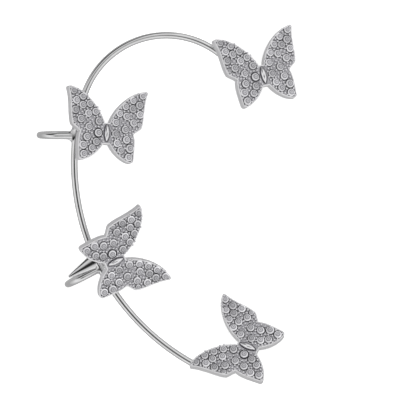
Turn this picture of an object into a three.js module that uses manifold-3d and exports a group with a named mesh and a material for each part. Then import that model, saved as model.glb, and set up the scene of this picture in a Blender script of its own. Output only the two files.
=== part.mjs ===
// An ear cuff of silver-coloured wire with two hooks and four butterflies set with round stones.
// Millimetres and degrees. The cuff is modelled face up, with its wire in the plane z = 0 and the
// centre of the wire's upper arc at the origin. At the end it is laid down on its own lowest points.
import * as THREE from "three";
import { ConvexHull } from "three/addons/math/ConvexHull.js";
import { mergeVertices } from "three/addons/utils/BufferGeometryUtils.js";
import Module from "manifold-3d";

const wasm = await Module();
wasm.setup();

// Sizes of the main wire
const WIRE_DIAMETER = 1.15;
const HOOP_RADIUS = 14.35;
const HOOP_START = 36;
const HOOP_TURN = 127.6;
const SWEEP_RADIUS = 38.4;
const SWEEP_TURN = 77.3;
const CURL_RADIUS = 9;
const CURL_TURN = 35;

// Sizes of the two hooks that go behind the ear
const HOOK_DIAMETER = 1.1;
const HOOK_BEND_RADIUS = 3.05;
const HOOK_FRONT_ARM = 3;
const HOOK_REAR_ARM = 6.2;

// Sizes of the tapered tail beside the lower hook
const TAIL_LENGTH = 5.4;
const TAIL_BASE_DIAMETER = 2.9;
const TAIL_TIP_DIAMETER = 0.5;

// Sizes of one butterfly, measured in the plane of its plate
const WING_SPAN = 7.1;
const WING_RISE = 7.5;
const WING_DROP = 4.78;
const PLATE_THICKNESS = 1.25;
const PLATE_TILT = 21.3;
const PLATE_NOD = -7.2;
const BODY_LENGTH = 2.9;
const BODY_WIDTH = 0.95;
const BODY_HEIGHT = 0.55;
const STONE_DIAMETER = 1.36;
const STONE_HEIGHT = 0.42;

// Sizes of the soldered seats that the butterflies stand on
const SEAT_DIAMETER = 1.8;
const SEAT_GAP = 0.15;

// Shares that shape a stone, and the depth that fused pieces reach into each other
const TABLE_SHARE = 0.56;
const FUSED_DEPTH = 0.2;

// Numbers of facets and steps
const WIRE_SIDES = 12;
const STONE_SIDES = 8;
const FILLET_STEPS = 4;
const EDGE_STEPS = 7;
const STEP_LENGTH = 2;
const BEND_STEP_LENGTH = 0.9;
const BODY_SIDES = 10;
const BODY_STEPS = 8;

// The hooks. along is the place on the main wire, as a share of its length; heading is the direction
// of the front arm seen from the front; lean turns the bend out of the straight way back; fillet is
// the radius of the solder round its foot.
const HOOKS = [
  { along: 0.432, heading: 180, lean: -3, fillet: 1.1 },
  { along: 0.688, heading: 207, lean: -3, fillet: 0.3 },
];
const TAIL = { along: 0.671, heading: 210.7 };

// The butterflies. along is the place of the seat on the main wire, as a share of its length.
// across and up are the place of the seat on the plate, as shares of the wing's span and of its rise
// or drop. turn is the butterfly's turn seen from the front, and reach is how far the plate's back
// stands off the surface of the wire at the seat.
const BUTTERFLIES = [
  { name: "butterfly_top", along: 0.012, across: -0.6, up: 0.386, turn: 14.5, reach: 0.22 },
  { name: "butterfly_upper", along: 0.38, across: -0.557, up: 0.544, turn: -2, reach: 0.48 },
  { name: "butterfly_lower", along: 0.716, across: 0.502, up: -0.477, turn: -64.4, reach: 0.6 },
  { name: "butterfly_bottom", along: 0.985, across: -0.733, up: 0.442, turn: 67.5, reach: 0.41 },
];

// The edge of a right wing, from the root above the body to the root below it. Each row is one
// Bezier stretch: its end, with its control places before it, as shares of span and rise or drop.
const WING_ROOT = { across: 0.064, up: 0.23 };
const WING_EDGE = [
  { across1: 0.175, up1: 0.585, across2: 0.585, up2: 0.955, across: 0.931, up: 1.0 },
  { across1: 0.985, up1: 1.005, across2: 1.005, up2: 0.985, across: 1.0, up: 0.94 },
  { across1: 0.903, up1: 0.69, across2: 0.944, up2: 0.359, across: 0.875, up: 0.172 },
  { across1: 0.847, up1: 0.11, across2: 0.764, up2: 0.09, across: 0.676, up: 0.007 },
  { across1: 0.735, up1: -0.202, across2: 0.71, up2: -0.566, across: 0.696, up: -0.869 },
  { across1: 0.694, up1: -0.96, across2: 0.665, up2: -1.0, across: 0.615, up: -1.0 },
  { across1: 0.444, up1: -0.98, across2: 0.208, up2: -0.727, across: 0.082, up: -0.394 },
];

// The stones of a right wing, from the tip down. size is a share of STONE_DIAMETER.
const WING_STONES = [
  { across: 0.866, up: 0.892, size: 0.88 },
  { across: 0.794, up: 0.68, size: 1.0 },
  { across: 0.812, up: 0.468, size: 1.0 },
  { across: 0.63, up: 0.778, size: 0.92 },
  { across: 0.628, up: 0.588, size: 1.0 },
  { across: 0.448, up: 0.629, size: 0.95 },
  { across: 0.302, up: 0.462, size: 0.95 },
  { across: 0.48, up: 0.409, size: 1.0 },
  { across: 0.661, up: 0.274, size: 1.0 },
  { across: 0.816, up: 0.24, size: 0.66 },
  { across: 0.21, up: 0.252, size: 0.98 },
  { across: 0.457, up: 0.11, size: 1.0 },
  { across: 0.215, up: -0.01, size: 1.0 },
  { across: 0.496, up: -0.182, size: 1.0 },
  { across: 0.588, up: -0.481, size: 1.08 },
  { across: 0.261, up: -0.331, size: 0.98 },
  { across: 0.358, up: -0.566, size: 0.96 },
  { across: 0.563, up: -0.794, size: 1.0 },
];

const radians = THREE.MathUtils.degToRad;

// A plane direction at an angle from +X, seen from the front.
function heading(angle) {
  return new THREE.Vector3(Math.cos(radians(angle)), Math.sin(radians(angle)), 0);
}

// A wire bent in one plane: straight stretches and arcs, each going on where the last one ends.
class BentWire extends THREE.Curve {
  constructor(start, ahead, aside, bends) {
    super();
    this.start = start;
    this.ahead = ahead;
    this.aside = aside;
    this.bends = bends.map(({ straight, radius, turn }) =>
      radius ? { radius, length: radius * radians(turn) } : { length: straight },
    );
    this.runLength = this.bends.reduce((sum, bend) => sum + bend.length, 0);
  }

  getPoint(t) {
    let left = t * this.runLength;
    let angle = 0;
    let x = 0;
    let y = 0;
    for (const { radius, length } of this.bends) {
      const run = Math.min(left, length);
      if (radius) {
        const next = angle + run / radius;
        x += radius * (Math.sin(next) - Math.sin(angle));
        y -= radius * (Math.cos(next) - Math.cos(angle));
        angle = next;
      } else {
        x += run * Math.cos(angle);
        y += run * Math.sin(angle);
      }
      left -= run;
    }
    return this.start.clone().addScaledVector(this.ahead, x).addScaledVector(this.aside, y);
  }
}

// A closed mesh as a solid, in the place that the matrix gives it.
function solid(geometry, matrix = new THREE.Matrix4()) {
  const bare = geometry.clone().applyMatrix4(matrix);
  bare.deleteAttribute("normal");
  bare.deleteAttribute("uv");
  const merged = mergeVertices(bare, 1e-4);
  const vertProperties = merged.attributes.position.array;
  const triVerts = new Uint32Array(merged.index.array);
  return new wasm.Manifold(new wasm.Mesh({ numProp: 3, vertProperties, triVerts }));
}

function joined(solids) {
  return solids.reduce((whole, piece) => whole.add(piece));
}

function geometryOf(body) {
  const { vertProperties, triVerts } = body.getMesh();
  const geometry = new THREE.BufferGeometry();
  geometry.setAttribute("position", new THREE.BufferAttribute(vertProperties, 3));
  geometry.setIndex(new THREE.BufferAttribute(triVerts, 1));
  geometry.computeVertexNormals();
  return geometry;
}

// A round wire along a curve, with a ball on each end.
function roundWire(curve, diameter, stepLength) {
  const radius = diameter / 2;
  const section = new THREE.Shape();
  for (let side = 0; side < WIRE_SIDES; side += 1) {
    const angle = ((side + 0.5) / WIRE_SIDES) * 2 * Math.PI;
    section[side ? "lineTo" : "moveTo"](radius * Math.cos(angle), radius * Math.sin(angle));
  }
  const steps = Math.ceil(curve.runLength / stepLength);
  const tube = new THREE.ExtrudeGeometry(section, { steps, extrudePath: curve });
  const ball = new THREE.SphereGeometry(radius, WIRE_SIDES, WIRE_SIDES / 2);
  const ends = [0, 1].map((t) => {
    const end = curve.getPoint(t);
    return solid(ball, new THREE.Matrix4().makeTranslation(end.x, end.y, end.z));
  });
  return joined([solid(tube), ...ends]);
}

// A matrix that carries +Y to the axis and +Z as near to the front as it goes, with its own origin.
function axisAt(origin, axis, scale = new THREE.Vector3(1, 1, 1)) {
  const across = new THREE.Vector3().crossVectors(axis, new THREE.Vector3(0, 0, 1)).normalize();
  const front = new THREE.Vector3().crossVectors(across, axis);
  return new THREE.Matrix4().makeBasis(across, axis, front).setPosition(origin).scale(scale);
}

// The flared solder where a round wire leaves the main wire, flattened to the main wire's depth.
function solderFillet(origin, axis, radius) {
  const foot = HOOK_DIAMETER / 2 + radius;
  const top = WIRE_DIAMETER / 2 + radius;
  const profile = [new THREE.Vector2(0, 0), new THREE.Vector2(foot, 0)];
  for (let step = 0; step <= FILLET_STEPS; step += 1) {
    const angle = (step / FILLET_STEPS) * (Math.PI / 2);
    const out = foot - radius * Math.sin(angle);
    profile.push(new THREE.Vector2(out, top - radius * Math.cos(angle)));
  }
  profile.push(new THREE.Vector2(0, top));
  const flare = new THREE.LatheGeometry(profile, WIRE_SIDES);
  return solid(flare, axisAt(origin, axis, new THREE.Vector3(1, 1, WIRE_DIAMETER / 2 / foot)));
}

// The main wire, seen from the front: the upper arc, the long arc and the curl at its lower end.
function mainWirePath() {
  const start = heading(HOOP_START).multiplyScalar(HOOP_RADIUS);
  return new BentWire(start, heading(HOOP_START + 90), heading(HOOP_START + 180), [
    { radius: HOOP_RADIUS, turn: HOOP_TURN },
    { radius: SWEEP_RADIUS, turn: SWEEP_TURN },
    { radius: CURL_RADIUS, turn: CURL_TURN },
  ]);
}

// A hook: its front arm, the bend round the rim of the ear and the rear arm behind it.
function hook(wirePath, { along, heading: angle, lean, fillet }) {
  const start = wirePath.getPointAt(along);
  const ahead = heading(angle);
  const back = new THREE.Vector3(0, 0, -1).applyAxisAngle(ahead, radians(lean));
  const path = new BentWire(start, ahead, back, [
    { straight: HOOK_FRONT_ARM },
    { radius: HOOK_BEND_RADIUS, turn: 180 },
    { straight: HOOK_REAR_ARM },
  ]);
  return joined([
    roundWire(path, HOOK_DIAMETER, BEND_STEP_LENGTH),
    solderFillet(start, ahead, fillet),
  ]);
}

// The tail: a tapered finger that lies beside the lower hook.
function tail(wirePath, { along, heading: angle }) {
  const base = TAIL_BASE_DIAMETER / 2;
  const tip = TAIL_TIP_DIAMETER / 2;
  const finger = new THREE.LatheGeometry(
    [
      new THREE.Vector2(0, 0),
      new THREE.Vector2(base, 0),
      new THREE.Vector2(tip, TAIL_LENGTH - tip),
      new THREE.Vector2(0, TAIL_LENGTH),
    ],
    WIRE_SIDES,
  );
  const flat = new THREE.Vector3(1, 1, WIRE_DIAMETER / TAIL_BASE_DIAMETER);
  return solid(finger, axisAt(wirePath.getPointAt(along), heading(angle), flat));
}

// The attitude of a butterfly's plate: tilted about its body, nodded back and turned.
function plateEuler(turn) {
  return new THREE.Euler(radians(PLATE_NOD), radians(PLATE_TILT), radians(turn), "ZXY");
}

// The direction in which a butterfly's plate faces.
function plateNormal(turn) {
  return new THREE.Vector3(0, 0, 1).applyEuler(plateEuler(turn));
}

// The distance along the plate's normal from the wire's centre to the plate's back.
function standOff(reach) {
  return WIRE_DIAMETER / 2 + reach;
}

// A seat: a short post from the wire's centre up to the gap below the plate's back.
function seat(wirePath, { along, turn, reach }) {
  const height = standOff(reach) - SEAT_GAP;
  const post = new THREE.CylinderGeometry(SEAT_DIAMETER / 2, SEAT_DIAMETER / 2, height, WIRE_SIDES);
  post.translate(0, height / 2, 0);
  const facing = new THREE.Quaternion().setFromUnitVectors(
    new THREE.Vector3(0, 1, 0),
    plateNormal(turn),
  );
  const matrix = new THREE.Matrix4().makeRotationFromQuaternion(facing);
  return solid(post, matrix.setPosition(wirePath.getPointAt(along)));
}

function earWire(wirePath) {
  return joined([
    roundWire(wirePath, WIRE_DIAMETER, STEP_LENGTH),
    ...HOOKS.map((row) => hook(wirePath, row)),
    tail(wirePath, TAIL),
    ...BUTTERFLIES.map((row) => seat(wirePath, row)),
  ]);
}

// A place on the plate from its shares of the wing's span and of its rise or drop.
function onWing(across, up, side = 1) {
  return new THREE.Vector2(side * across * WING_SPAN, up * (up > 0 ? WING_RISE : WING_DROP));
}

// The edge points of a right wing, root to root.
function wingEdge() {
  const points = [onWing(WING_ROOT.across, WING_ROOT.up)];
  for (const row of WING_EDGE) {
    const stretch = new THREE.CubicBezierCurve(
      points.at(-1),
      onWing(row.across1, row.up1),
      onWing(row.across2, row.up2),
      onWing(row.across, row.up),
    );
    points.push(...stretch.getPoints(EDGE_STEPS).slice(1));
  }
  return points;
}

// The plate: both wings in one, with its front face at z = 0.
function plate() {
  const right = wingEdge();
  const left = right.map(({ x, y }) => new THREE.Vector2(-x, y)).reverse();
  const outline = new THREE.Shape([...right, ...left].reverse());
  const extruded = new THREE.ExtrudeGeometry(outline, {
    depth: PLATE_THICKNESS,
    bevelEnabled: false,
  });
  return solid(extruded, new THREE.Matrix4().makeTranslation(0, 0, -PLATE_THICKNESS));
}

// The body: an almond, pointed at both ends, whose section is half an ellipse above the plate.
function almond() {
  const profile = [];
  for (let step = 0; step <= BODY_STEPS; step += 1) {
    const share = (2 * step) / BODY_STEPS - 1;
    const width = step % BODY_STEPS ? (BODY_WIDTH / 2) * (1 - share * share) : 0;
    profile.push(new THREE.Vector2(width, (share * BODY_LENGTH) / 2));
  }
  const turned = new THREE.LatheGeometry(profile, BODY_SIDES);
  return solid(turned, new THREE.Matrix4().makeScale(1, 1, BODY_HEIGHT / (BODY_WIDTH / 2)));
}

// A cut stone: its flat table and sloping facets stand above the plate, and its foot is in it.
function stone(size) {
  const girdle = (STONE_DIAMETER / 2) * size;
  const height = STONE_HEIGHT * size;
  const profile = [
    new THREE.Vector2(0, -FUSED_DEPTH),
    new THREE.Vector2(girdle, -FUSED_DEPTH),
    new THREE.Vector2(girdle, 0),
    new THREE.Vector2(girdle * TABLE_SHARE, height),
    new THREE.Vector2(0, height),
  ];
  const cut = new THREE.LatheGeometry(profile, STONE_SIDES);
  return cut.rotateX(Math.PI / 2);
}

function stones() {
  return WING_STONES.flatMap(({ across, up, size }) =>
    [-1, 1].map((side) => {
      const { x, y } = onWing(across, up, side);
      return solid(stone(size), new THREE.Matrix4().makeTranslation(x, y, 0));
    }),
  );
}

function butterfly() {
  return joined([plate(), almond(), ...stones()]);
}

// The place of a butterfly's centre, so that its seat lies on the main wire.
function butterflyPosition(wirePath, { along, across, up, turn, reach }) {
  const { x, y } = onWing(across, up);
  const seatOnPlate = new THREE.Vector3(x, y, -PLATE_THICKNESS).applyEuler(plateEuler(turn));
  return wirePath
    .getPointAt(along)
    .addScaledVector(plateNormal(turn), standOff(reach))
    .sub(seatOnPlate);
}

// Every triangle of every mesh, as three points in the frame of the object.
function trianglesOf(object) {
  const triangles = [];
  object.updateMatrixWorld(true);
  object.traverse((mesh) => {
    if (!mesh.isMesh) return;
    const { position } = mesh.geometry.attributes;
    const { index } = mesh.geometry;
    for (let i = 0; i < index.count; i += 3) {
      const corner = (k) => new THREE.Vector3().fromBufferAttribute(position, index.getX(i + k));
      triangles.push([0, 1, 2].map((k) => corner(k).applyMatrix4(mesh.matrixWorld)));
    }
  });
  return triangles;
}

function centreOfMass(triangles) {
  const centre = new THREE.Vector3();
  let volume = 0;
  for (const [a, b, c] of triangles) {
    const share = a.dot(new THREE.Vector3().crossVectors(b, c)) / 6;
    volume += share;
    centre.addScaledVector(a, share / 4);
    centre.addScaledVector(b, share / 4);
    centre.addScaledVector(c, share / 4);
  }
  return centre.divideScalar(volume);
}

// The turn that lays an object on the hull face below its centre of mass, nearest to its own back.
function restingTurn(object) {
  const triangles = trianglesOf(object);
  const centre = centreOfMass(triangles);
  const hull = new ConvexHull().setFromPoints(triangles.flat());
  const stable = hull.faces.filter(({ edge, normal }) => {
    const corners = [edge.prev, edge, edge.next].map((side) => side.head().point);
    return corners.every((corner, k) => {
      const along = new THREE.Vector3().subVectors(corners[(k + 1) % 3], corner);
      const inward = new THREE.Vector3().crossVectors(normal, along);
      return inward.dot(new THREE.Vector3().subVectors(centre, corner)) > 0;
    });
  });
  const lowest = stable.reduce((best, face) => (face.normal.z < best.normal.z ? face : best));
  const down = new THREE.Vector3(0, 0, -1);
  return new THREE.Quaternion().setFromUnitVectors(lowest.normal, down);
}

const silver = { color: 0xc9cacc, roughness: 0.18, metalness: 1 };
const stoneSet = { color: 0xd8dadd, roughness: 0.12, metalness: 0.6 };

function mesh(name, body, material) {
  const made = new THREE.Mesh(geometryOf(body), new THREE.MeshStandardMaterial(material));
  made.name = name;
  return made;
}

const wirePath = mainWirePath();
const faceUp = new THREE.Group();
faceUp.add(mesh("ear_wire", earWire(wirePath), silver));
for (const row of BUTTERFLIES) {
  const placed = mesh(row.name, butterfly(), stoneSet);
  placed.position.copy(butterflyPosition(wirePath, row));
  placed.rotation.copy(plateEuler(row.turn));
  faceUp.add(placed);
}
faceUp.quaternion.copy(restingTurn(faceUp));

// The origin is the middle of the cuff's box, on the surface that it lies on.
const earCuff = new THREE.Group();
earCuff.add(faceUp);
const box = new THREE.Box3().setFromObject(earCuff, true);
const middle = box.getCenter(new THREE.Vector3());
faceUp.position.set(-middle.x, -middle.y, -box.min.z);

export default earCuff;
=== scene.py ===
"""Looks of an ear cuff: a bent wire with two hooks, and four butterflies paved with round stones.

The sizes in the classes are millimetres and degrees, in the face-up frame: the wire lies in the
plane z = 0, with the centre of its upper arc at the origin. RESTING lays that frame on the surface
that the cuff lies on, and the meshes are in metres.
"""

import sys

import logging
import math
from dataclasses import dataclass, field
from enum import Enum

import bpy
import numpy as np
from mathutils import Matrix, Vector


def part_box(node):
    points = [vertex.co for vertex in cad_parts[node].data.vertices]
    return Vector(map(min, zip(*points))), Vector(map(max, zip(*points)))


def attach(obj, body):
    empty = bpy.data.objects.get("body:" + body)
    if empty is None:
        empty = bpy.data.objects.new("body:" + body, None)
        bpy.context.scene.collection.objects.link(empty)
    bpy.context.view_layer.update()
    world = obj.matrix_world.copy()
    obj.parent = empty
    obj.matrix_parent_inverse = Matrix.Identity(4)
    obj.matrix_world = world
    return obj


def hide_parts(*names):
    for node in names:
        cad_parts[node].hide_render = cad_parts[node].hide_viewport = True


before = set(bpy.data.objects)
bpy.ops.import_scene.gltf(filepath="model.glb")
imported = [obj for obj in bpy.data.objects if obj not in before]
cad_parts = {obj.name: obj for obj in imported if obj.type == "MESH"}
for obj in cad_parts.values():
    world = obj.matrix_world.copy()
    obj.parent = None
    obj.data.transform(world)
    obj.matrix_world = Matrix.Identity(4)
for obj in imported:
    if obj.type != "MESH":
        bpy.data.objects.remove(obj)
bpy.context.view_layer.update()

LOG = logging.getLogger("ear_cuff")
METRES = 0.001
SEED = 11


# ---------------------------------------------------------------- places and turns


def turn_about(axis: np.ndarray, angle: float) -> np.ndarray:
    """The 3 x 3 matrix of a turn, by Rodrigues' rule: 1 + sin K + (1 - cos) K K.

    Args:
        axis: direction of the axis.
        angle: turn in degrees.

    Returns:
        The matrix.
    """
    x, y, z = axis / np.linalg.norm(axis)
    cross = np.array([[0, -z, y], [z, 0, -x], [-y, x, 0]])
    a = math.radians(angle)
    return np.eye(3) + math.sin(a) * cross + (1 - math.cos(a)) * cross @ cross


@dataclass(frozen=True)
class Placing:
    """A turn and a shift that carry points from one frame to another."""

    turn: np.ndarray
    shift: np.ndarray

    def carry(self, points: np.ndarray) -> np.ndarray:
        """Points turned, then shifted."""
        return points @ self.turn.T + self.shift

    def aim(self, direction: np.ndarray) -> np.ndarray:
        """A direction, which is only turned."""
        return self.turn @ direction


def heading(angle: float) -> np.ndarray:
    """The plane direction at an angle from +X, in degrees."""
    return np.array([math.cos(math.radians(angle)), math.sin(math.radians(angle)), 0.0])


UP = np.array([0.0, 0.0, 1.0])

RESTING_AXIS_HEADING = 77.53
RESTING_TURN = 7.894
RESTING_SHIFT = (0.188, 13.728, 6.147)
RESTING = Placing(
    turn_about(heading(RESTING_AXIS_HEADING), RESTING_TURN), np.array(RESTING_SHIFT)
)


# ---------------------------------------------------------------- closed surfaces


@dataclass
class Shell:
    """A closed surface: points, blocks of faces, a map place per point, and its finish.

    roof is the finish of its last block, where that differs.
    """

    points: np.ndarray
    blocks: list[np.ndarray]
    places: np.ndarray
    finish: int = 0
    roof: int | None = None

    def finish_of(self, block: int) -> int:
        """The finish number of one block of faces."""
        is_roof = self.roof is not None and block == len(self.blocks) - 1
        return self.roof if is_roof else self.finish


def ring_blocks(rings: int, sides: int) -> list[np.ndarray]:
    """Faces of a stack of rings with a pole point at each end.

    Point 0 is the first pole, the last point is the other one, and ring r starts at 1 + r * sides.
    Quad (r, s) joins side s and its next one on rings r and r + 1, and fans close both poles.

    Args:
        rings: number of rings between the poles.
        sides: points on each ring.

    Returns:
        A block of quads and a block of triangles.
    """
    side = np.arange(sides)
    nxt = (side + 1) % sides
    start = 1 + np.arange(rings - 1)[:, None] * sides
    quads = np.stack([start + side, start + nxt, start + nxt + sides, start + side + sides], -1)
    last = 1 + rings * sides
    lid = 1 + (rings - 1) * sides
    near = np.stack([np.zeros(sides, int), 1 + nxt, 1 + side], -1)
    far = np.stack([np.full(sides, last), lid + side, lid + nxt], -1)
    return [quads.reshape(-1, 4), np.vstack([near, far])]


def swept(
    centres: np.ndarray, across: np.ndarray, upward: np.ndarray, sides: int, finish: int = 0
) -> Shell:
    """A closed surface of rings: point = centre + across cos(a) + upward sin(a).

    The first and the last centre are the poles. The map place is (a / full turn, length along).

    Args:
        centres: (n, 3) ring centres, poles included.
        across: (n, 3) half width of each ring, as a vector.
        upward: (n, 3) half height of each ring, as a vector.
        sides: points on each ring.
        finish: number of the finish.

    Returns:
        The surface.
    """
    a = np.arange(sides) / sides * 2 * np.pi
    rings = (
        centres[1:-1, None]
        + across[1:-1, None] * np.cos(a)[None, :, None]
        + upward[1:-1, None] * np.sin(a)[None, :, None]
    )
    points = np.vstack([centres[:1], rings.reshape(-1, 3), centres[-1:]])
    run = np.concatenate([[0.0], np.cumsum(np.linalg.norm(np.diff(centres, axis=0), axis=1))])
    around = np.tile(np.arange(sides) / sides, len(centres) - 2)
    along = np.repeat(run[1:-1], sides)
    places = np.vstack([[0, run[0]], np.stack([around, along], -1), [0, run[-1]]])
    return Shell(points, ring_blocks(len(centres) - 2, sides), places, finish)


def lathed(
    profile: np.ndarray, origin: np.ndarray, axis: np.ndarray, flat: float, sides: int
) -> Shell:
    """A profile turned about an axis: out from it by the first column, along it by the second.

    Args:
        profile: (n, 2) radius and height, from pole to pole.
        origin: place of height zero.
        axis: direction of the axis, in the plane z = 0.
        flat: share that the depth in z keeps.
        sides: points on each ring.

    Returns:
        The surface.
    """
    axis = axis / np.linalg.norm(axis)
    across = np.cross(UP, axis)
    centres = origin + profile[:, 1:] * axis
    return swept(centres, profile[:, :1] * -across, profile[:, :1] * UP * flat, sides)


def mesh_of(name: str, shells: list[Shell], finishes: list[bpy.types.Material]) -> bpy.types.Mesh:
    """One mesh of several closed surfaces, in millimetres.

    Args:
        name: name of the mesh.
        shells: the surfaces.
        finishes: its materials, by finish number.

    Returns:
        The mesh, with its map places in the layer "cut".
    """
    starts = np.cumsum([0] + [len(shell.points) for shell in shells])
    points = np.vstack([shell.points for shell in shells])
    faces: list[list[int]] = []
    numbers: list[np.ndarray] = []
    for start, shell in zip(starts, shells):
        for number, block in enumerate(shell.blocks):
            faces.extend((block + start).tolist())
            numbers.append(np.full(len(block), shell.finish_of(number)))
    mesh = bpy.data.meshes.new(name)
    mesh.from_pydata(points.tolist(), [], faces)
    corners = np.empty(len(mesh.loops), np.int32)
    mesh.loops.foreach_get("vertex_index", corners)
    layer = mesh.uv_layers.new(name="cut")
    places = np.vstack([shell.places for shell in shells])
    layer.data.foreach_set("uv", places[corners].astype(np.float32).ravel())
    for finish in finishes:
        mesh.materials.append(finish)
    mesh.polygons.foreach_set("material_index", np.concatenate(numbers).astype(np.int32))
    mesh.update()
    return mesh


class Joining(Enum):
    """How a second solid meets the first one."""

    ADD = "UNION"
    CUT = "DIFFERENCE"


def joined(first: bpy.types.Mesh, second: bpy.types.Mesh, how: Joining) -> bpy.types.Mesh:
    """The first solid with the second one added to it or cut from it.

    Args:
        first: mesh of the first solid.
        second: mesh of the second one, whose surfaces may run through each other.
        how: whether it is added or cut.

    Returns:
        One mesh, with the finish numbers and the map places of both.
    """
    scene = bpy.context.scene
    base = bpy.data.objects.new("joining_base", first)
    tool = bpy.data.objects.new("joining_tool", second)
    for made in (base, tool):
        scene.collection.objects.link(made)
    step = base.modifiers.new("join", "BOOLEAN")
    step.object = tool
    step.operation = how.value
    step.solver = "EXACT"
    step.use_self = True
    bpy.context.view_layer.update()
    depsgraph = bpy.context.evaluated_depsgraph_get()
    result = bpy.data.meshes.new_from_object(base.evaluated_get(depsgraph))
    for made in (base, tool):
        bpy.data.objects.remove(made)
    return result


# ---------------------------------------------------------------- finishes


GIRDLE_ON_MAP = 0.4
MIDDLE_OF_MAP = 0.5

Shade = tuple[float, float, float]


def fill_ramp(ramp: bpy.types.ColorRamp, stops: list[tuple[float, Shade]]) -> None:
    """Puts shades on a colour ramp: the first and the last on its own two stops, the rest between.

    Args:
        ramp: a new colour ramp.
        stops: places from 0 to 1, and their shades.
    """
    for element, (position, shade) in zip(ramp.elements, (stops[0], stops[-1])):
        element.position = position
        element.color = (*shade, 1)
    for position, shade in stops[1:-1]:
        ramp.elements.new(position).color = (*shade, 1)


@dataclass(frozen=True)
class Polish:
    """A polished metal: its colour, its gloss, and how fine its scratches and clouds are.

    The gloss is its least and its greatest roughness. Each set of scratches has its angle and the
    width of one scratch.
    """

    name: str
    colour: Shade
    gloss: tuple[float, float]
    cloud_size: float = 2.4
    cloud_detail: int = 5
    cloud_ends: tuple[float, float] = (0.3, 0.7)
    wear: float = 0.10
    scratches: tuple[tuple[float, float], ...] = ((24.0, 0.05), (-58.0, 0.08))
    scratch_length: float = 30.0
    scratch_layer: float = 4.0
    scratch_detail: int = 2
    scratch_depth: float = 0.10
    scratch_height: float = 0.01

    def material(self) -> bpy.types.Material:
        """The node material.

        Colour is the base shade times slow clouds, and roughness follows the same clouds. The bump
        is two sets of stretched noise: scratches that cross each other.

        Returns:
            The material.
        """
        made = bpy.data.materials.new(self.name)
        made.use_nodes = True
        tree = made.node_tree
        shader = tree.nodes["Principled BSDF"]
        shader.inputs["Metallic"].default_value = 1.0
        place = tree.nodes.new("ShaderNodeTexCoord")
        clouds = tree.nodes.new("ShaderNodeTexNoise")
        clouds.inputs["Scale"].default_value = 1 / (self.cloud_size * METRES)
        clouds.inputs["Detail"].default_value = self.cloud_detail
        tree.links.new(place.outputs["Object"], clouds.inputs["Vector"])

        def from_clouds(low: float, high: float) -> bpy.types.NodeSocket:
            """The clouds' value, carried to another range.

            Args:
                low: what it gives where the clouds are least.
                high: what it gives where they are greatest.

            Returns:
                The socket that gives it.
            """
            node = tree.nodes.new("ShaderNodeMapRange")
            node.inputs["From Min"].default_value = self.cloud_ends[0]
            node.inputs["From Max"].default_value = self.cloud_ends[1]
            node.inputs["To Min"].default_value = low
            node.inputs["To Max"].default_value = high
            tree.links.new(clouds.outputs["Fac"], node.inputs["Value"])
            return node.outputs["Result"]

        tint = tree.nodes.new("ShaderNodeMix")
        tint.data_type = "RGBA"
        tint.blend_type = "MULTIPLY"
        tint.inputs["Factor"].default_value = 1.0
        tint.inputs["A"].default_value = (*self.colour, 1)
        tree.links.new(from_clouds(1 - self.wear, 1.0), tint.inputs["B"])
        tree.links.new(tint.outputs["Result"], shader.inputs["Base Color"])
        tree.links.new(from_clouds(self.gloss[1], self.gloss[0]), shader.inputs["Roughness"])
        heights = []
        for angle, width in self.scratches:
            frame = tree.nodes.new("ShaderNodeMapping")
            frame.inputs["Rotation"].default_value[2] = math.radians(angle)
            across = 1 / (width * METRES)
            stretch = (across, across / self.scratch_length, across / self.scratch_layer)
            frame.inputs["Scale"].default_value = stretch
            tree.links.new(place.outputs["Object"], frame.inputs["Vector"])
            grain = tree.nodes.new("ShaderNodeTexNoise")
            grain.inputs["Scale"].default_value = 1.0
            grain.inputs["Detail"].default_value = self.scratch_detail
            tree.links.new(frame.outputs["Vector"], grain.inputs["Vector"])
            heights.append(grain.outputs["Fac"])
        both = tree.nodes.new("ShaderNodeMath")
        both.operation = "ADD"
        tree.links.new(heights[0], both.inputs[0])
        tree.links.new(heights[1], both.inputs[1])
        bump = tree.nodes.new("ShaderNodeBump")
        bump.inputs["Strength"].default_value = self.scratch_depth
        bump.inputs["Distance"].default_value = self.scratch_height * METRES
        tree.links.new(both.outputs["Value"], bump.inputs["Height"])
        tree.links.new(bump.outputs["Normal"], shader.inputs["Normal"])
        return made


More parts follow.
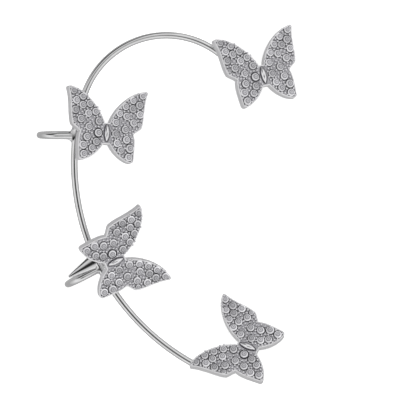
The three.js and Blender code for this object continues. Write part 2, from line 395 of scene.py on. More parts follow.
@dataclass(frozen=True)
class CutStonePaintedReflections:
    """A clear cut stone, seen as painted reflections: the pattern of light that its back facets
    throw to its front, painted into its base colour.
    """

    name: str = "cut_stone"
    light: Shade = (0.96, 0.955, 0.98)
    inner: Shade = (0.63, 0.625, 0.655)
    grey: Shade = (0.38, 0.375, 0.4)
    dark: Shade = (0.07, 0.07, 0.08)
    roughness: float = 0.05
    refraction: float = 1.7
    arms: int = 8
    arm_ring: float = 0.33
    arm_sharpness: float = 5.0
    arm_strength: float = 0.9
    spread: float = 0.35

    def rings(self) -> list[tuple[float, Shade]]:
        """The rings of the painted reflection pattern, by share of the girdle's radius.

        From the middle out: a grey point with a dark edge, a ring of the inner shade, a dark line,
        a grey ring, a light ring and a dark edge.

        Returns:
            The stops of the ramp, as places and shades.
        """
        return [
            (0.0, self.grey),
            (0.08, self.dark),
            (0.18, self.inner),
            (0.40, self.inner),
            (0.47, self.dark),
            (0.55, self.grey),
            (0.64, self.grey),
            (0.70, self.light),
            (0.90, self.light),
            (0.96, self.dark),
            (1.0, self.dark),
        ]

    def material(self) -> bpy.types.Material:
        """The node material.

        The base colour is painted reflection. The map place holds the stone's number in its whole
        part and the place on the stone in the rest. Distance from the stone's middle picks the
        ring.
        In the ring of the arms the painted shade is darkened by a cosine of the angle, and each
        stone as a whole by its own random share.

        Returns:
            The material.
        """
        made = bpy.data.materials.new(self.name)
        made.use_nodes = True
        tree = made.node_tree
        shader = tree.nodes["Principled BSDF"]
        shader.inputs["Roughness"].default_value = self.roughness
        shader.inputs["IOR"].default_value = self.refraction

        def maths(operation: str, first: object, second: object = 0.0) -> object:
            """One sum of two numbers or sockets.

            Args:
                operation: name of the sum.
                first: number or socket.
                second: number or socket, where the sum needs it.

            Returns:
                The socket that gives the result.
            """
            node = tree.nodes.new("ShaderNodeMath")
            node.operation = operation
            for slot, value in enumerate((first, second)):
                if isinstance(value, (int, float)):
                    node.inputs[slot].default_value = value
                else:
                    tree.links.new(value, node.inputs[slot])
            return node.outputs["Value"]

        map_place = tree.nodes.new("ShaderNodeUVMap")
        map_place.uv_map = "cut"
        split = tree.nodes.new("ShaderNodeSeparateXYZ")
        tree.links.new(map_place.outputs["UV"], split.inputs["Vector"])
        u = maths("SUBTRACT", maths("FRACT", split.outputs["X"]), MIDDLE_OF_MAP)
        v = maths("SUBTRACT", maths("FRACT", split.outputs["Y"]), MIDDLE_OF_MAP)
        squares = maths("ADD", maths("MULTIPLY", u, u), maths("MULTIPLY", v, v))
        out = maths("MULTIPLY", maths("SQRT", squares), 1 / GIRDLE_ON_MAP)
        angle = maths("ARCTAN2", v, u)
        wave = maths("COSINE", maths("MULTIPLY", angle, float(self.arms)))
        number = tree.nodes.new("ShaderNodeTexWhiteNoise")
        number.noise_dimensions = "1D"
        tree.links.new(maths("FLOOR", split.outputs["X"]), number.inputs["W"])
        rings = tree.nodes.new("ShaderNodeValToRGB")
        fill_ramp(rings.color_ramp, self.rings())
        tree.links.new(out, rings.inputs["Fac"])
        off = maths("ABSOLUTE", maths("SUBTRACT", out, self.arm_ring))
        near = maths("SUBTRACT", 1.0, maths("MULTIPLY", off, self.arm_sharpness))
        dots = maths("MULTIPLY", maths("MAXIMUM", near, 0.0), maths("MAXIMUM", wave, 0.0))
        darker = tree.nodes.new("ShaderNodeMix")
        darker.data_type = "RGBA"
        tree.links.new(maths("MULTIPLY", dots, self.arm_strength), darker.inputs["Factor"])
        tree.links.new(rings.outputs["Color"], darker.inputs["A"])
        darker.inputs["B"].default_value = (*self.dark, 1)
        level = tree.nodes.new("ShaderNodeMix")
        level.data_type = "RGBA"
        level.blend_type = "MULTIPLY"
        level.inputs["Factor"].default_value = self.spread
        tree.links.new(darker.outputs["Result"], level.inputs["A"])
        tree.links.new(number.outputs["Value"], level.inputs["B"])
        # The ringed pattern, a painted reflection of the facets, becomes the base colour.
        tree.links.new(level.outputs["Result"], shader.inputs["Base Color"])
        return made


class Finish(Enum):
    """The finishes, by their number in a mesh."""

    SILVER = 0
    STONE = 1
    # painted shade: the darker finish of the wells and of the plate's roof between the stones
    WELL = 2
    RIM = 3


WIRE_SILVER = Polish("wire_silver", colour=(0.82, 0.82, 0.825), gloss=(0.04, 0.11))
SETTING_SILVER = Polish(
    "setting_silver",
    colour=(0.94, 0.935, 0.955),
    gloss=(0.12, 0.22),
    cloud_size=1.2,
    scratch_depth=0.2,
)
# Darker silver: painted shade in the wells round the stones and on the plate's roof between them.
WELL_SILVER_PAINTED_SHADE = Polish(
    "well_silver_painted_shade",
    colour=(0.51, 0.505, 0.53),
    gloss=(0.3, 0.45),
    cloud_size=0.6,
    scratch_depth=0.3,
)
RIM_SILVER = Polish("rim_silver", colour=(0.95, 0.945, 0.96), gloss=(0.4, 0.5), cloud_size=1.2)


# ---------------------------------------------------------------- the wire


@dataclass(frozen=True)
class Bend:
    """One stretch of a bent wire: straight for a length, or a turn at a radius."""

    length: float
    radius: float = 0.0

    @staticmethod
    def arc(radius: float, turn: float) -> "Bend":
        """A stretch that turns by an angle in degrees at a radius."""
        return Bend(radius * math.radians(turn), radius)


@dataclass(frozen=True)
class BentPath:
    """A wire's centre line in one plane: its stretches, each going on where the last one ends."""

    start: np.ndarray
    ahead: np.ndarray
    aside: np.ndarray
    bends: tuple[Bend, ...]

    @property
    def length(self) -> float:
        """Length of the whole line."""
        return sum(bend.length for bend in self.bends)

    def trace(self, along: np.ndarray) -> tuple[np.ndarray, np.ndarray]:
        """Points of the line and the directions in which it runs there.

        On an arc the heading grows by run / radius, and the place by radius times the change of
        its sine ahead and of its cosine aside.

        Args:
            along: distances along the line.

        Returns:
            (n, 3) points and (n, 3) directions.
        """
        angle = np.zeros_like(along)
        ahead = np.zeros_like(along)
        aside = np.zeros_like(along)
        left = along.astype(float).copy()
        for bend in self.bends:
            run = np.clip(left, 0, bend.length)
            if bend.radius:
                nxt = angle + run / bend.radius
                ahead = ahead + bend.radius * (np.sin(nxt) - np.sin(angle))
                aside = aside - bend.radius * (np.cos(nxt) - np.cos(angle))
                angle = nxt
            else:
                ahead = ahead + run * np.cos(angle)
                aside = aside + run * np.sin(angle)
            left = left - run
        points = self.start + ahead[:, None] * self.ahead + aside[:, None] * self.aside
        runs = np.cos(angle)[:, None] * self.ahead + np.sin(angle)[:, None] * self.aside
        return points, runs

    def at(self, share: float) -> np.ndarray:
        """The point at a share of the length."""
        return self.trace(np.array([share * self.length]))[0][0]


@dataclass
class Hook:
    """A hook that goes behind the ear: where it leaves the wire, its heading, its lean and the
    radius of the solder round its foot."""

    along: float
    heading: float
    lean: float
    fillet: float
    diameter: float = 1.1
    bend_radius: float = 3.05
    front_arm: float = 3.0
    rear_arm: float = 6.2

    def path(self, wire: BentPath) -> BentPath:
        """Front arm, half turn to the back, and rear arm.

        Args:
            wire: centre line of the wire that it leaves.

        Returns:
            The hook's own centre line.
        """
        ahead = heading(self.heading)
        back = turn_about(ahead, self.lean) @ np.array([0.0, 0.0, -1.0])
        bends = (Bend(self.front_arm), Bend.arc(self.bend_radius, 180), Bend(self.rear_arm))
        return BentPath(wire.at(self.along), ahead, back, bends)


@dataclass
class EarWire:
    """The bent wire with its hooks, its tail, the solder round them and the butterflies' seats."""

    diameter: float = 1.15
    hoop_radius: float = 14.35
    hoop_start: float = 36.0
    hoop_turn: float = 127.6
    sweep_radius: float = 38.4
    sweep_turn: float = 77.3
    curl_radius: float = 9.0
    curl_turn: float = 35.0
    tail_along: float = 0.671
    tail_heading: float = 210.7
    tail_length: float = 5.4
    tail_base: float = 2.9
    tail_tip: float = 0.5
    seat_diameter: float = 1.8
    seat_gap: float = 0.02
    step: float = 0.35
    sides: int = 40
    dome_steps: int = 8
    solder_steps: int = 12
    tail_steps: int = 14
    tail_dome_steps: int = 6
    crease: float = 32.0
    hooks: list[Hook] = field(
        default_factory=lambda: [Hook(0.432, 180.0, -3.0, 1.1), Hook(0.688, 207.0, -3.0, 0.3)]
    )

    def path(self) -> BentPath:
        """The upper arc, the long arc and the curl at the lower end."""
        return BentPath(
            self.hoop_radius * heading(self.hoop_start),
            heading(self.hoop_start + 90),
            heading(self.hoop_start + 180),
            (
                Bend.arc(self.hoop_radius, self.hoop_turn),
                Bend.arc(self.sweep_radius, self.sweep_turn),
                Bend.arc(self.curl_radius, self.curl_turn),
            ),
        )

    def round_wire(self, path: BentPath, diameter: float) -> Shell:
        """A round wire with domed ends.

        Rings stand square to the line. Past each end the ring's radius is the cosine, and its
        place the sine, of an angle that grows to a right angle at the pole.

        Args:
            path: centre line.
            diameter: of the wire.

        Returns:
            The surface.
        """
        radius = diameter / 2
        count = int(path.length / self.step)
        dome = np.linspace(0, np.pi / 2, self.dome_steps)[1:]
        past, narrow = radius * np.sin(dome), radius * np.cos(dome)
        middle = np.linspace(0, path.length, count)
        along = np.concatenate([-past[::-1], middle, path.length + past])
        width = np.concatenate([narrow[::-1], np.full(count, radius), narrow])
        inside = np.clip(along, 0, path.length)
        points, runs = path.trace(inside)
        points = points + (along - inside)[:, None] * runs
        square = np.cross(path.ahead, path.aside)
        across = np.cross(runs, square)
        return swept(points, across * width[:, None], square * width[:, None], self.sides)

    def solder(self, hook: Hook, line: BentPath) -> Shell:
        """The flared solder where a hook leaves the wire: a quarter circle, hollow side out.

        Args:
            hook: whose foot it holds.
            line: that hook's centre line.

        Returns:
            The surface.
        """
        foot = hook.diameter / 2 + hook.fillet
        top = self.diameter / 2 + hook.fillet
        quarter = np.linspace(0, np.pi / 2, self.solder_steps)
        hollow = np.stack([np.sin(quarter), np.cos(quarter)], -1)
        profile = np.array([foot, top]) - hook.fillet * hollow
        profile = np.vstack([[0, 0], [foot, 0], profile, [0, top]])
        return lathed(profile, line.start, line.ahead, self.diameter / 2 / foot, self.sides)

    def tail(self, origin: np.ndarray) -> Shell:
        """The tail: its half width shrinks along its length, and its point is round.

        Args:
            origin: where it leaves the wire.

        Returns:
            The surface.
        """
        dome = np.linspace(0, np.pi / 2, self.tail_dome_steps)
        tip = self.tail_tip / 2
        point = np.stack([tip * np.cos(dome), self.tail_length - tip + tip * np.sin(dome)], -1)
        share = np.linspace(0, 1, self.tail_steps)[:-1, None]
        base = np.array([[self.tail_base / 2, 0.0]])
        side = base * (1 - share) + point[:1] * share
        profile = np.vstack([[0, 0], side, point])
        flat = self.diameter / self.tail_base
        return lathed(profile, origin, heading(self.tail_heading), flat, self.sides)

    def seat(self, butterfly: "Butterfly") -> Shell:
        """A short post from the wire's centre to the butterfly's back, square to its plate.

        Args:
            butterfly: that stands on it.

        Returns:
            The surface.
        """
        origin = self.path().at(butterfly.along)
        normal = butterfly.attitude() @ UP
        height = self.diameter / 2 + butterfly.reach - self.seat_gap
        across = np.cross(normal, heading(0))
        across /= np.linalg.norm(across)
        upward = np.cross(normal, across)
        radius = self.seat_diameter / 2
        rows = np.array([[0, 0], [radius, 0], [radius, height], [0, height]])
        centres = origin + rows[:, 1:] * normal
        return swept(centres, rows[:, :1] * across, rows[:, :1] * upward, self.sides)

    def build(self, butterflies: list["Butterfly"]) -> bpy.types.Object:
        """The wire as one solid, in its place.

        Args:
            butterflies: whose seats it carries.

        Returns:
            The finished piece.
        """
        path = self.path()
        extra = [self.tail(path.at(self.tail_along))]
        for hook in self.hooks:
            line = hook.path(path)
            extra.append(self.round_wire(line, hook.diameter))
            extra.append(self.solder(hook, line))
        extra.extend(self.seat(butterfly) for butterfly in butterflies)
        silver = [WIRE_SILVER.material()]
        wire = mesh_of("wire", [self.round_wire(path, self.diameter)], silver)
        whole = joined(wire, mesh_of("wire_extra", extra, silver), Joining.ADD)
        return dressed("ear_wire_polished", whole, RESTING, self.crease)


def dressed(name: str, mesh: bpy.types.Mesh, placing: Placing, crease: float) -> bpy.types.Object:
    """A piece of a mesh in millimetres: placed, and smoothed up to a crease angle.

    Args:
        name: name of the piece.
        mesh: its mesh, in millimetres in its own frame.
        placing: carries it to the resting frame.
        crease: angle in degrees past which an edge stays sharp.

    Returns:
        The piece.
    """
    count = len(mesh.vertices)
    points = np.empty(count * 3, np.float32)
    mesh.vertices.foreach_get("co", points)
    placed = placing.carry(points.reshape(-1, 3).astype(float)) * METRES
    mesh.vertices.foreach_set("co", placed.astype(np.float32).ravel())
    mesh.shade_smooth()
    mesh.set_sharp_from_angle(angle=math.radians(crease))
    mesh.update()
    piece = bpy.data.objects.new(name, mesh)
    bpy.context.scene.collection.objects.link(piece)
    return piece


# ---------------------------------------------------------------- the butterflies


@dataclass(frozen=True)
class EdgeStretch:
    """One Bezier stretch of a wing's edge, as shares of the span and of the rise or drop."""

    across1: float
    up1: float
    across2: float
    up2: float
    across: float
    up: float


@dataclass(frozen=True)
class StonePlace:
    """A stone's place on a wing, in the same shares, and its size as a share."""

    across: float
    up: float
    size: float


WING_ROOT = (0.064, 0.23)
WING_EDGE = (
    EdgeStretch(0.175, 0.585, 0.585, 0.955, 0.931, 1.0),
    EdgeStretch(0.985, 1.005, 1.005, 0.985, 1.0, 0.94),
    EdgeStretch(0.903, 0.69, 0.944, 0.359, 0.875, 0.172),
    EdgeStretch(0.847, 0.11, 0.764, 0.09, 0.676, 0.007),
    EdgeStretch(0.735, -0.202, 0.71, -0.566, 0.696, -0.869),
    EdgeStretch(0.694, -0.96, 0.665, -1.0, 0.615, -1.0),
    EdgeStretch(0.444, -0.98, 0.208, -0.727, 0.082, -0.394),
)
WING_STONES = (
    StonePlace(0.866, 0.892, 0.88),
    StonePlace(0.794, 0.68, 1.0),
    StonePlace(0.812, 0.468, 1.0),
    StonePlace(0.63, 0.778, 0.92),
    StonePlace(0.628, 0.588, 1.0),
    StonePlace(0.448, 0.629, 0.95),
    StonePlace(0.302, 0.462, 0.95),
    StonePlace(0.48, 0.409, 1.0),
    StonePlace(0.661, 0.274, 1.0),
    StonePlace(0.816, 0.24, 0.66),
    StonePlace(0.21, 0.252, 0.98),
    StonePlace(0.457, 0.11, 1.0),
    StonePlace(0.215, -0.01, 1.0),
    StonePlace(0.496, -0.182, 1.0),
    StonePlace(0.588, -0.481, 1.08),
    StonePlace(0.261, -0.331, 0.98),
    StonePlace(0.358, -0.566, 0.96),
    StonePlace(0.563, -0.794, 1.0),
)


@dataclass
class PavedPlate:
    """One butterfly in the plane of its plate, whose front face is at z = 0."""

    span: float = 7.1
    rise: float = 7.5
    drop: float = 4.78
    thickness: float = 1.25
    soft_edge: float = 0.07
    rim_height: float = 0.1
    roof_drop: float = 0.04
    back_recess: float = 0.04
    body_length: float = 2.9
    body_width: float = 0.95
    body_height: float = 0.55
    stone: float = 1.36
    stone_height: float = 0.42
    table: float = 0.56
    stone_sides: int = 16
    well_gap: float = 0.09
    well_depth: float = 0.34
    well_sides: int = 24
    framed_stone: int = 12
    framed_gap: float = 0.18
    body_gap: float = 0.12
    body_fullness: float = 0.85
    body_steps: int = 25
    body_sides: int = 28
    bead: float = 0.22
    bead_least: float = 0.1
    bead_most: int = 150
    bead_search: float = 0.06
    bead_over_stone: float = 0.06
    bead_apart: float = 1.25
    bead_lift: float = 0.04
    bead_stretch: float = 0.08
    bead_rings: int = 8
    bead_sides: int = 10
    rim: float = 0.24
    rim_steps: int = 4
    edge_steps: int = 14
    crease: float = 24.0

    def on_wing(self, across: np.ndarray, up: np.ndarray) -> np.ndarray:
        """Places on the plate from their shares of the span and of the rise or drop."""
        across, up = np.asarray(across, float), np.asarray(up, float)
        return np.stack([across * self.span, up * np.where(up > 0, self.rise, self.drop)], -1)

    def outline(self) -> np.ndarray:
        """The plate's edge, both wings, anticlockwise.

        Each stretch is the cubic Bezier sum of its four control places.

        Returns:
            (n, 2) points.
        """
        t = np.linspace(0, 1, self.edge_steps + 1)[1:, None]
        s = 1 - t
        start = self.on_wing(*WING_ROOT)
        rows = [start[None]]
        for row in WING_EDGE:
            one = self.on_wing(row.across1, row.up1)
            two = self.on_wing(row.across2, row.up2)
            end = self.on_wing(row.across, row.up)
            rows.append(s**3 * start + 3 * s**2 * t * one + 3 * s * t**2 * two + t**3 * end)
            start = end
        right = np.vstack(rows)[::-1]
        return np.vstack([right, right[::-1] * [-1, 1]])

    def rings(self, rows: np.ndarray) -> np.ndarray:
        """The outline drawn in and lifted: ring = outline - outward normal * draw-in, at a height.

        Args:
            rows: (n, 2) draw-in and height of each ring.

        Returns:
            (n * points, 3) points, ring by ring.
        """
        edge = self.outline()
        ahead = np.roll(edge, -1, 0) - np.roll(edge, 1, 0)
        outward = np.stack([ahead[:, 1], -ahead[:, 0]], -1)
        outward /= np.linalg.norm(outward, axis=1, keepdims=True)
        flat = edge[None] - outward[None] * rows[:, None, :1]
        height = np.broadcast_to(rows[:, None, 1:], (*flat.shape[:2], 1))
        return np.concatenate([flat, height], -1).reshape(-1, 3)

    def plate(self) -> Shell:
        """The plate inside its rim: a lower ring, an upper ring, a floor and a roof darkened with
        painted shade.

        Returns:
            The surface.
        """
        inner = self.rim / 2
        rows = np.array([[inner, -self.thickness + self.back_recess], [inner, -self.roof_drop]])
        points = self.rings(rows)
        sides = len(points) // 2
        side = np.arange(sides)
        nxt = (side + 1) % sides
        wall = np.stack([side, nxt, nxt + sides, side + sides], -1)
        blocks = [wall, side[::-1][None], (side + sides)[None]]
        places = np.zeros((len(points), 2))
        # The roof takes the well finish: painted shade between the stones.
        return Shell(points, blocks, places, Finish.SILVER.value, Finish.WELL.value)

    def rim_band(self) -> Shell:
        """The rim: a closed band round the plate, its section a strip with rounded corners.

        The section runs up the outside, over the top and down the inside, with a quarter circle
        at each corner.

        Returns:
            The surface.
        """
        quarter = np.linspace(0, np.pi / 2, self.rim_steps)
        soft = self.soft_edge
        turn = soft * (1 - np.sin(quarter))
        back = soft * (1 - np.cos(quarter))
        low, high = -self.thickness, self.rim_height
        section = [
            np.stack([turn, low + back], -1),
            np.stack([back, high - turn], -1),
            np.stack([self.rim - turn, high - back], -1),
            np.stack([self.rim - back, low + turn], -1),
        ]
        rows = np.vstack(section)
        points = self.rings(rows)
        sides = len(points) // len(rows)
        side = np.arange(sides)
        nxt = (side + 1) % sides
        start = np.arange(len(rows))[:, None] * sides
        above = (np.arange(len(rows))[:, None] + 1) % len(rows) * sides
        quads = np.stack([start + side, start + nxt, above + nxt, above + side], -1)
        return Shell(points, [quads.reshape(-1, 4)], np.zeros((len(points), 2)), Finish.RIM.value)

    def stones(self) -> tuple[np.ndarray, np.ndarray]:
        """Centres and girdle radii of the stones of both wings."""
        right = self.on_wing([row.across for row in WING_STONES], [row.up for row in WING_STONES])
        size = np.array([row.size for row in WING_STONES]) * self.stone / 2
        return np.vstack([right, right * [-1, 1]]), np.concatenate([size, size])

    def cut_stone(self, centre: np.ndarray, girdle: float, number: int, turn: float) -> Shell:
        """A round cut stone: table, crown facets in two rows, girdle, and back cone.

        Rings of points at shares of the girdle: the table at its share, the break of the crown
        between them, the girdle twice and the point below. Every other point of the table and of
        the break is drawn in a little, which makes the facets. The map place is the stone's number
        plus the place on it, from 0.1 to 0.9.

        Args:
            centre: its place on the plate.
            girdle: its radius.
            number: its number.
            turn: its turn in degrees.

        Returns:
            The surface.
        """
        height = self.stone_height * girdle * 2 / self.stone
        rows = np.array(
            [
                [0.0, -0.86],
                [0.55, -0.42],
                [1.0, -0.05],
                [1.0, 0.1],
                [0.8, 0.62],
                [self.table, 1.0],
                [0.0, 1.0],
            ]
        )
        sides = self.stone_sides
        a = (np.arange(sides) / sides * 2 * np.pi + math.radians(turn))[None]
        out = rows[1:-1, :1] * girdle
        sway = np.ones((len(rows) - 2, sides))
        sway[-2, ::2] = 0.92
        sway[-1, 1::2] = math.cos(math.pi / 8)
        ring = np.stack([out * sway * np.cos(a), out * sway * np.sin(a)], -1)
        level = np.broadcast_to(rows[1:-1, 1:, None] * height, (*ring.shape[:2], 1))
        points = np.concatenate([ring, level], -1).reshape(-1, 3)
        poles = np.array([[0, 0, rows[0, 1] * height], [0, 0, height]])
        points = np.vstack([poles[:1], points, poles[1:]])
        places = points[:, :2] / girdle * GIRDLE_ON_MAP + MIDDLE_OF_MAP + [number, 0]
        points = points + [*centre, 0.0]
        return Shell(points, ring_blocks(len(rows) - 2, sides), places, Finish.STONE.value)

    def well(self, centre: np.ndarray, half_width: float, half_length: float) -> Shell:
        """The oval well that a stone or the body sits in, as the solid that is cut away; its cut
        faces are darkened with painted shade.

        Args:
            centre: its place on the plate.
            half_width: across the plate.
            half_length: up the plate.

        Returns:
            The surface.
        """
        rows = np.array(
            [
                [0, -self.well_depth],
                [0.8, -self.well_depth],
                [1.0, -self.well_depth * 0.5],
                [1.0, 0.3],
                [0, 0.3],
            ]
        )
        centres = np.array([*centre, 0.0]) + rows[:, 1:] * UP
        across = rows[:, :1] * half_width * heading(0)
        upward = rows[:, :1] * half_length * heading(90)
        return swept(centres, across, upward, self.well_sides, Finish.WELL.value)

    def gaps(self) -> np.ndarray:
        """The gap round each stone. On the left wing the stone beside the body has a wide one."""
        gaps = np.full(2 * len(WING_STONES), self.well_gap)
        gaps[len(WING_STONES) + self.framed_stone] = self.framed_gap
        return gaps

    def bead_places(self, centres: np.ndarray, girdles: np.ndarray) -> np.ndarray:
        """Places and radii of the beads: each goes where the most room is left between stones.

        Room is the least distance to a girdle or to the edge, on a fine grid of places, and each
        bead takes room from the next ones.

        Args:
            centres: of the stones.
            girdles: their radii.

        Returns:
            Rows of x, y and radius.
        """
        edge = self.outline()
        columns = np.arange(-self.span, self.span, self.bead_search)
        lines = np.arange(-self.drop, self.rise, self.bead_search)
        x, y = np.meshgrid(columns, lines)
        spots = np.stack([x.ravel(), y.ravel()], -1)
        nxt = np.roll(edge, -1, 0)
        crosses = (edge[:, 1] > spots[:, None, 1]) != (nxt[:, 1] > spots[:, None, 1])
        climb = np.where(nxt[:, 1] == edge[:, 1], 1e-9, nxt[:, 1] - edge[:, 1])
        slope = (nxt[:, 0] - edge[:, 0]) / climb
        left_of = spots[:, None, 0] < edge[:, 0] + (spots[:, None, 1] - edge[:, 1]) * slope
        spots = spots[(crosses & left_of).sum(1) % 2 == 1]
        to_stone = (np.linalg.norm(spots[:, None] - centres, axis=2) - girdles).min(1)
        to_edge = np.linalg.norm(spots[:, None] - edge, axis=2).min(1) - self.rim * 0.5
        body = np.hypot(spots[:, 0] / (self.body_width / 2), spots[:, 1] / (self.body_length / 2))
        to_body = (body - 1) * self.body_width / 2 - self.body_gap
        room = np.minimum(np.minimum(to_stone + self.bead_over_stone, to_edge), to_body)
        found = []
        while len(found) < self.bead_most and room.max() > self.bead_least:
            best = int(room.argmax())
            radius = min(room[best], self.bead)
            found.append([*spots[best], radius])
            apart = np.linalg.norm(spots - spots[best], axis=1) - radius * self.bead_apart
            room = np.minimum(room, apart)
        return np.array(found)

    def bead_dome(self, x: float, y: float, radius: float) -> Shell:
        """A bead: a ball stretched upwards, its foot in the plate.

        Args:
            x: its place across the plate.
            y: its place up the plate.
            radius: of the ball.

        Returns:
            The surface.
        """
        polar = np.linspace(0, np.pi, self.bead_rings)
        height = self.bead_lift - (radius + self.bead_stretch) * np.cos(polar)
        rows = np.stack([radius * np.sin(polar), height], -1)
        rows[0, 0] = rows[-1, 0] = 0
        centres = np.array([x, y, 0.0]) + rows[:, 1:] * UP
        return swept(centres, rows[:, :1] * heading(0), rows[:, :1] * heading(90), self.bead_sides)

    def body(self) -> Shell:
        """The almond body: its half width is a parabola raised to its fullness.

        Returns:
            The surface.
        """
        share = np.linspace(-1, 1, self.body_steps)
        width = self.body_width / 2 * (1 - share**2) ** self.body_fullness
        width[[0, -1]] = 0
        centres = np.stack([0 * share, share * self.body_length / 2, 0 * share], -1)
        up = UP * self.body_height / (self.body_width / 2)
        return swept(centres, width[:, None] * -heading(0), width[:, None] * up, self.body_sides)

    def mesh(self, finishes: list[bpy.types.Material]) -> bpy.types.Mesh:
        """The plate with its wells cut, and its stones, beads, body and rim joined to it.

        Args:
            finishes: the materials, by finish number.

        Returns:
            The mesh, in the plate's own frame.
        """
        centres, girdles = self.stones()
        spin = np.random.default_rng(SEED).uniform(0, 45, len(centres))
        reach = girdles + self.gaps()
        wells = [self.well(c, r, r) for c, r in zip(centres, reach)]
        groove = self.body_width / 2 + self.body_gap, self.body_length / 2 + self.body_gap
        wells.append(self.well(np.zeros(2), *groove))
        plate = mesh_of("plate", [self.plate()], finishes)
        cut = joined(plate, mesh_of("wells", wells, finishes), Joining.CUT)
        added = [self.cut_stone(c, g, n, spin[n]) for n, (c, g) in enumerate(zip(centres, girdles))]
        beads = self.bead_places(centres, reach - self.well_gap)
        added.extend(self.bead_dome(*row) for row in beads)
        added.extend([self.body(), self.rim_band()])
        return joined(cut, mesh_of("set_in_plate", added, finishes), Joining.ADD)


@dataclass
class Butterfly:
    """A butterfly's place: its seat on the wire and on its plate, its turn and its reach."""

    name: str
    along: float
    across: float
    up: float
    turn: float
    reach: float
    tilt: float = 21.3
    nod: float = -7.2

    def attitude(self) -> np.ndarray:
        """The plate's turns: tilted about its body, nodded back, then turned."""
        x, y, z = np.eye(3)
        return turn_about(z, self.turn) @ turn_about(x, self.nod) @ turn_about(y, self.tilt)

    def placing(self, wire: EarWire, plate: PavedPlate) -> Placing:
        """Stands the plate's seat on the wire, then lays both down at rest.

        Args:
            wire: that it stands on.
            plate: its sizes.

        Returns:
            What carries the plate's own frame there.
        """
        turn = self.attitude()
        stand = wire.path().at(self.along) + turn[:, 2] * (wire.diameter / 2 + self.reach)
        seat = np.array([*plate.on_wing(self.across, self.up), -plate.thickness])
        return Placing(RESTING.turn @ turn, RESTING.carry(stand - turn @ seat))

    def build(self, wire: EarWire, plate: PavedPlate, whole: bpy.types.Mesh) -> bpy.types.Object:
        """The butterfly in its place.

        Args:
            wire: that it stands on.
            plate: its sizes.
            whole: its mesh in the plate's own frame.

        Returns:
            The finished piece.
        """
        return dressed(
            self.name + "_paved", whole.copy(), self.placing(wire, plate), plate.crease
        )


BUTTERFLIES = [
    Butterfly("butterfly_top", 0.012, -0.6, 0.386, 14.5, 0.22),
    Butterfly("butterfly_upper", 0.38, -0.557, 0.544, -2.0, 0.48),
    Butterfly("butterfly_lower", 0.716, 0.502, -0.477, -64.4, 0.6),
    Butterfly("butterfly_bottom", 0.985, -0.733, 0.442, 67.5, 0.41),
]


# ---------------------------------------------------------------- the studio


@dataclass(frozen=True)
class Card:
    """A dark card in the tent: its heading, its angle from overhead, its size and its shade.

    Its brightness is its share of the tent's, and its edge is soft over an angle to each side.
    """

    heading: float
    lean: float
    radius: float
    soft: float
    shade: float

    def direction(self) -> np.ndarray:
        """The direction of its middle in the face-up frame."""
        lean = math.radians(self.lean)
        return math.sin(lean) * heading(self.heading) + math.cos(lean) * UP


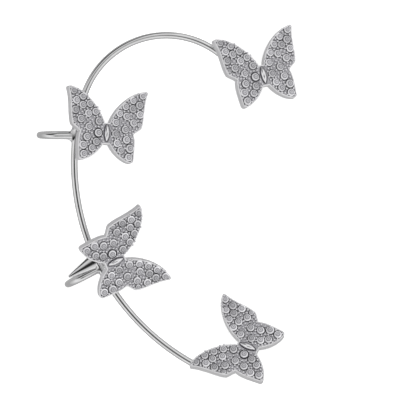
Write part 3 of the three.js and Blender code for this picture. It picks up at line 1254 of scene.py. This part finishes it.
@dataclass
class Studio:
    """The floor, the soft light all round, a soft lamp and the camera.

    The sizes of the view are millimetres. Those of the floor and the lamp are metres.
    """

    tent: tuple[tuple[float, float], ...] = (
        (0.0, 0.6),
        (0.2, 0.7),
        (0.5, 0.93),
        (0.7, 0.95),
        (0.9, 0.74),
        (1.0, 0.63),
    )
    cards: tuple[Card, ...] = (
        Card(20.0, 14.0, 10.0, 7.0, 0.03),
        Card(215.0, 12.0, 10.0, 7.0, 0.03),
        Card(130.0, 62.0, 19.0, 12.0, 0.03),
        Card(98.0, 78.0, 12.0, 8.0, 0.1),
    )
    view_width: float = 66.67
    view_centre: tuple[float, float] = (5.63, -13.1)
    camera_distance: float = 1500.0
    sensor: float = 36.0
    view_end: float = 20.0
    floor_size: float = 3.0
    floor_level: float = -1e-5
    floor_shade: float = 0.9
    floor_roughness: float = 0.9
    floor_glow: float = 0.6
    floor_mirrored: float = 0.48
    lamp_place: tuple[float, float, float] = (0.45, 0.3, 0.6)
    lamp_size: float = 0.2
    lamp_power: float = 2.2

    def floor(self) -> None:
        """A pale floor that glows a little, so that it stays near white.

        In the mirror of the metal it is a plain grey instead, as the card under a light tent is.
        """
        half = self.floor_size / 2
        mesh = bpy.data.meshes.new("floor")
        signs = ((-1, -1), (1, -1), (1, 1), (-1, 1))
        corners = [(x * half, y * half, self.floor_level) for x, y in signs]
        mesh.from_pydata(corners, [], [(0, 1, 2, 3)])
        finish = bpy.data.materials.new("pale_floor")
        finish.use_nodes = True
        tree = finish.node_tree
        shader = tree.nodes["Principled BSDF"]
        shader.inputs["Base Color"].default_value = (self.floor_shade,) * 3 + (1,)
        shader.inputs["Roughness"].default_value = self.floor_roughness
        shader.inputs["Emission Color"].default_value = (1, 1, 1, 1)
        shader.inputs["Emission Strength"].default_value = self.floor_glow
        ray = tree.nodes.new("ShaderNodeLightPath")
        mirrored = tree.nodes.new("ShaderNodeEmission")
        mirrored.inputs["Color"].default_value = (self.floor_mirrored,) * 3 + (1,)
        either = tree.nodes.new("ShaderNodeMixShader")
        tree.links.new(ray.outputs["Is Glossy Ray"], either.inputs["Fac"])
        tree.links.new(shader.outputs["BSDF"], either.inputs[1])
        tree.links.new(mirrored.outputs["Emission"], either.inputs[2])
        tree.links.new(either.outputs["Shader"], tree.nodes["Material Output"].inputs["Surface"])
        mesh.materials.append(finish)
        floor = bpy.data.objects.new("floor", mesh)
        bpy.context.scene.collection.objects.link(floor)

    def sky(self) -> None:
        """Soft light from all round with a few darker cards in it, as in a light tent.

        Brightness is a ramp of the cosine of the angle from overhead, times one factor per card:
        a smooth step of the cosine of the angle from the card's middle.
        """
        world = bpy.data.worlds.new("soft_light")
        bpy.context.scene.world = world
        world.use_nodes = True
        tree = world.node_tree
        place = tree.nodes.new("ShaderNodeTexCoord")

        def cosine_from(direction: np.ndarray) -> bpy.types.NodeSocket:
            """The cosine of the angle from a direction.

            Args:
                direction: in the face-up frame.

            Returns:
                The socket that gives it.
            """
            node = tree.nodes.new("ShaderNodeVectorMath")
            node.operation = "DOT_PRODUCT"
            node.inputs[1].default_value = tuple(RESTING.aim(direction))
            tree.links.new(place.outputs["Generated"], node.inputs[0])
            return node.outputs["Value"]

        ramp = tree.nodes.new("ShaderNodeValToRGB")
        fill_ramp(ramp.color_ramp, [(position, (shade,) * 3) for position, shade in self.tent])
        tree.links.new(cosine_from(UP), ramp.inputs["Fac"])
        light = ramp.outputs["Color"]
        for card in self.cards:
            outer = math.radians(card.radius + card.soft)
            inner = math.radians(max(card.radius - card.soft, 0))
            factor = tree.nodes.new("ShaderNodeMapRange")
            factor.interpolation_type = "SMOOTHSTEP"
            factor.inputs["From Min"].default_value = math.cos(outer)
            factor.inputs["From Max"].default_value = math.cos(inner)
            factor.inputs["To Min"].default_value = 1.0
            factor.inputs["To Max"].default_value = card.shade
            tree.links.new(cosine_from(card.direction()), factor.inputs["Value"])
            product = tree.nodes.new("ShaderNodeMix")
            product.data_type = "RGBA"
            product.blend_type = "MULTIPLY"
            product.inputs["Factor"].default_value = 1.0
            tree.links.new(light, product.inputs["A"])
            tree.links.new(factor.outputs["Result"], product.inputs["B"])
            light = product.outputs["Result"]
        tree.links.new(light, tree.nodes["Background"].inputs["Color"])
        tree.nodes["Background"].inputs["Strength"].default_value = 1.0

    def lamp(self) -> None:
        """A soft square lamp that looks at the cuff, and isn't seen in its metal."""
        light = bpy.data.lights.new("soft_lamp", "AREA")
        light.size = self.lamp_size
        light.energy = self.lamp_power
        lamp = bpy.data.objects.new("soft_lamp", light)
        lamp.visible_glossy = False
        lamp.location = self.lamp_place
        lamp.rotation_euler = (-Vector(self.lamp_place)).to_track_quat("-Z", "Y").to_euler()
        bpy.context.scene.collection.objects.link(lamp)

    def camera(self) -> None:
        """A long lens square to the plane of the wire, with the wire's +Y up in the picture."""
        lens = bpy.data.cameras.new("camera")
        lens.sensor_width = self.sensor
        lens.lens = self.sensor * self.camera_distance / self.view_width
        lens.clip_end = self.view_end
        camera = bpy.data.objects.new("camera", lens)
        centre = RESTING.carry(np.array([*self.view_centre, 0.0])) * METRES
        back = RESTING.aim(UP)
        place = centre + back * self.camera_distance * METRES
        frame = Matrix(RESTING.turn.tolist()).to_4x4()
        frame.translation = Vector(place)
        camera.matrix_world = frame
        bpy.context.scene.collection.objects.link(camera)
        bpy.context.scene.camera = camera

    def build(self) -> None:
        """Everything round the cuff."""
        bpy.context.scene.view_settings.view_transform = "Standard"
        self.floor()
        self.sky()
        self.lamp()
        self.camera()


# ---------------------------------------------------------------- the whole


def report(piece: bpy.types.Object, node: str) -> None:
    """Writes a piece's number of triangles, and how far its box is from that of its node.

    Args:
        piece: the finished piece.
        node: name of the node that it replaces.
    """
    points = np.empty(len(piece.data.vertices) * 3, np.float32)
    piece.data.vertices.foreach_get("co", points)
    points = points.reshape(-1, 3)
    low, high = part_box(node)
    off = np.concatenate([points.min(0) - np.array(low), points.max(0) - np.array(high)]) / METRES
    piece.data.calc_loop_triangles()
    count = len(piece.data.loop_triangles)
    LOG.info("%s: %d triangles, off %s mm", piece.name, count, off.round(2))


def main() -> None:
    """Builds the pieces in order, then the studio."""
    logging.basicConfig(level=logging.INFO, stream=sys.stdout, format="%(name)s: %(message)s")
    wire = EarWire()
    piece = wire.build(BUTTERFLIES)
    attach(piece, "root")
    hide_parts("ear_wire")
    report(piece, "ear_wire")
    plate = PavedPlate()
    looks = (SETTING_SILVER, CutStonePaintedReflections(), WELL_SILVER_PAINTED_SHADE, RIM_SILVER)
    whole = plate.mesh([look.material() for look in looks])
    for butterfly in BUTTERFLIES:
        piece = butterfly.build(wire, plate, whole)
        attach(piece, "root")
        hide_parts(butterfly.name)
        report(piece, butterfly.name)
    Studio().build()


if __name__ == "__main__":
    main()
